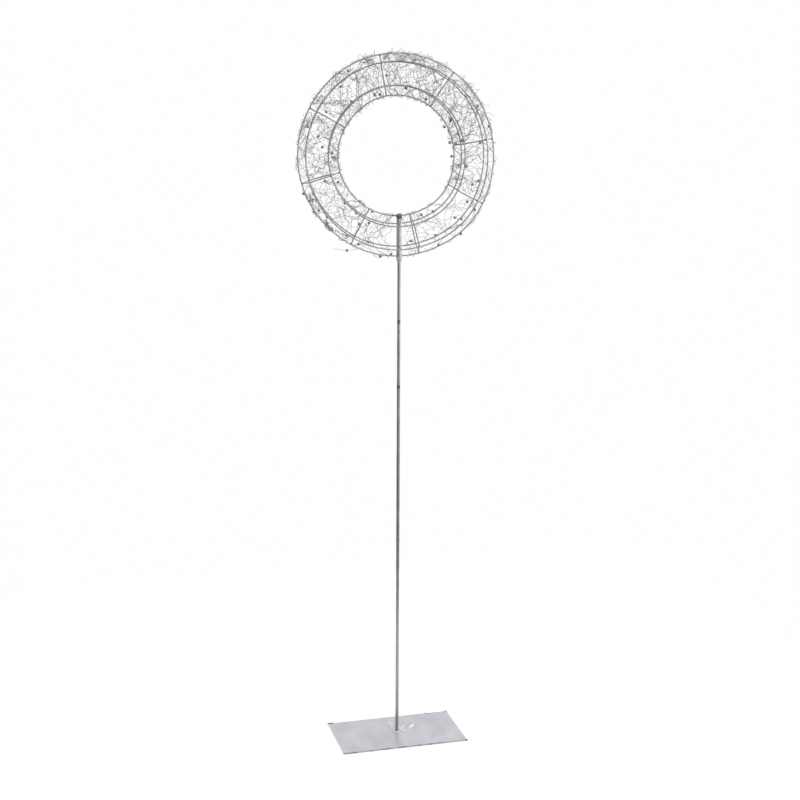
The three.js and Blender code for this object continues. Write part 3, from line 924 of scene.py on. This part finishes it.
def front_place(degrees, radius):
    """A place on the front of the cage's section at a clock angle and a ring radius."""
    radii = SECTION_CORNERS[[3, 4, 5, 0], 0]
    depths = SECTION_CORNERS[[3, 4, 5, 0], 1]
    return cage(np.radians(degrees), radius, np.interp(radius, radii, depths))


def silvered_plastic():
    """Silvered plastic: a mirror coat with a faint cloudiness and fine rubs."""
    f = Finish("silvered_plastic", Coat_Weight=0.6, Coat_Roughness=0.05)
    clouds = f.noise(0.002, detail=3)
    rubs = f.noise(0.0004, detail=3)
    tone = clouds.blend((0.20, 0.195, 0.21), (0.32, 0.315, 0.33))
    return f.paint(tone, 0.12 + rubs * 0.16, rubs, 0.08, metallic=0.85 + clouds * 0.1)


SILVERED_PLASTIC = silvered_plastic()


def bay_of(node):
    """The number of the bay that a node's middle lies in."""
    low, high = (np.array(corner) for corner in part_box(node))
    x, _, z = from_row((low + high) / 2)
    degrees = math.degrees(math.atan2(x / OVAL, z)) % 360
    turned = degrees if degrees >= BRACE_CLOCK[0] else degrees + 360
    return max(i for i, (start, *_) in enumerate(BAYS) if start <= turned)


bead_nodes = [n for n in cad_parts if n.startswith("bead_")]
for number, wanted in enumerate(BEADS):
    degrees, radii = np.array(wanted, float).T
    centres, directions = threaded(bay_paths[number], front_place(degrees, radii / 1000))
    stood_for = [n for n in bead_nodes if bay_of(n) == number]
    beads = grid_faces(bead_grids(centres, directions), True)
    make_piece(f"beads_{number + 1}", *beads, "wreath", "bead", SILVERED_PLASTIC, stood_for)


# ---- loose end ------------------------------------------------------------------------------------------
# One end of the crimped wire came off the cage at the lower left and sticks out sideways, with its last
# bead still on it.


def loose_path():
    """A crimped line from inside the outermost ring out to the left, with waves that die out at the bead
    and tighten towards its end."""
    low, high = (np.array(corner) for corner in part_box("loose_wire_end"))
    x_end, x_start = from_row(low)[0], from_row(high)[0]
    bead_x, _, bead_z = from_row(sum(np.array(c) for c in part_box("loose_end_bead")) / 2)
    share = np.linspace(0, 1, 220)
    x = x_start + 0.005 + (x_end - x_start - 0.005) * share
    z = np.interp(x, [x_end, bead_x, x_start], [bead_z + 0.0025, bead_z, bead_z + 0.003])
    calm = 1 - np.exp(-(((x - bead_x) / 0.006) ** 2))
    z = z + 0.0011 * calm * np.sin(2 * math.pi * x / 0.0075)
    y = 0.0009 * calm * np.cos(2 * math.pi * x / 0.0075)
    return on_wreath(x, y, z)[None], np.abs(x - bead_x).argmin()


path, bead_step = loose_path()
loose_wire = wire(path, HAIR, 6, False)
make_piece("loose_wire", *loose_wire, "wreath", "crimped_wire", BRIGHT_WIRE, ["loose_wire_end"])
ahead = path[:, bead_step + 3] - path[:, bead_step - 3]
ahead /= np.linalg.norm(ahead)
last_bead = grid_faces(bead_grids(path[:, bead_step], ahead), True)
make_piece("loose_bead", *last_bead, "wreath", "bead", SILVERED_PLASTIC, ["loose_end_bead"])


# ---- studio ---------------------------------------------------------------------------------------------
# A pale floor, a broad soft light from the upper right, and a room that is brighter on the right and
# behind the object than on the left and behind the camera. The camera stands in front, a little left.


def pale_floor():
    """Matt off-white card with a very faint mottle."""
    f = Finish("pale_floor", Specular_IOR_Level=0.1, Roughness=0.9)
    return f.paint(f.noise(0.4, detail=3).blend((0.86, 0.86, 0.86), (0.90, 0.90, 0.90)))


FLOOR_HALF = 0.93
FLOOR_FRONT = -0.62  # the card ends here in front, and the dark room begins
FLOOR_TOP = -0.0003  # just under the plate, so that the two don't share a plane
floor_y = [FLOOR_FRONT, FLOOR_FRONT, FLOOR_HALF, FLOOR_HALF]
corners = np.column_stack([FLOOR_HALF * np.array([-1, 1, 1, -1]), floor_y, np.full(4, FLOOR_TOP)])
floor_mesh = bpy.data.meshes.new("floor")
floor_mesh.from_pydata(corners.tolist(), [], [(0, 1, 2, 3)])
floor_mesh.materials.append(pale_floor())
floor = bpy.data.objects.new("floor", floor_mesh)
bpy.context.scene.collection.objects.link(floor)

CAMERA_PLACE = (-0.6741, -2.4956, 1.1844)
CAMERA_YAW = math.radians(-15.178)
CAMERA_PITCH = math.radians(11.947)
CAMERA_ROLL = 0.0049
camera_data = bpy.data.cameras.new("camera")
camera_data.sensor_width = 36
camera_data.lens = 66.52
camera = bpy.data.objects.new("camera", camera_data)
camera.location = CAMERA_PLACE
level = Matrix.Rotation(CAMERA_YAW, 3, "Z") @ Matrix.Rotation(math.pi / 2 - CAMERA_PITCH, 3, "X")
camera.rotation_euler = (level @ Matrix.Rotation(CAMERA_ROLL, 3, "Z")).to_euler()
bpy.context.scene.collection.objects.link(camera)
bpy.context.scene.camera = camera

softbox_data = bpy.data.lights.new("softbox", "SUN")
softbox_data.energy = 0.9
softbox_data.angle = math.radians(45)
softbox = bpy.data.objects.new("softbox", softbox_data)
softbox.rotation_euler = (math.radians(38), 0, math.radians(52))
bpy.context.scene.collection.objects.link(softbox)


def room():
    """Light from the room by direction: a low, broad window to the right, white walls behind the object,
    dimmer behind the camera with a dark belt below the horizon, and darkest at the front left. What the
    camera sees past the floor is plain white."""
    world = bpy.data.worlds.new("room")
    world.use_nodes = True
    tree = world.node_tree
    tree.nodes.clear()
    start = Value(tree, None)
    direction = start.node("ShaderNodeTexCoord", {}, {}, output="Generated")

    def facing(x, y):
        """How squarely a direction faces a horizontal one: the dot product."""
        long = math.hypot(x, y)
        inputs = {0: direction, 1: (x / long, y / long, 0)}
        return start.node("ShaderNodeVectorMath", {"operation": "DOT_PRODUCT"}, inputs, output="Value")

    height = start.node("ShaderNodeSeparateXYZ", {}, {0: direction}, output="Z")
    behind = facing(0.26, 0.965).ramp(-0.25, 0.25)
    window = facing(0.885, -0.465).ramp(0.42, 0.7) * height.ramp(-0.22, -0.1)
    window = window * height.ramp(0.1, 0.03)
    left = facing(-0.95, -0.3).ramp(0.35, 0.85)
    belt = height.ramp(-0.17, -0.23)
    light = 1.0 - left * 0.45 - belt * (0.9 - left * 0.4)
    light = light + (1.15 - light) * behind * (1 - belt * 0.45)
    light = light + window * 1.7
    seen = start.node("ShaderNodeLightPath", {}, {}, output="Is Camera Ray")
    light = light + (1 - light) * seen
    glow = start.node("ShaderNodeBackground", {}, {"Color": (1, 0.995, 1, 1), "Strength": light})
    output = tree.nodes.new("ShaderNodeOutputWorld")
    tree.links.new(glow.socket, output.inputs["Surface"])
    bpy.context.scene.world = world


room()
bpy.context.scene.view_settings.view_transform = "Standard"
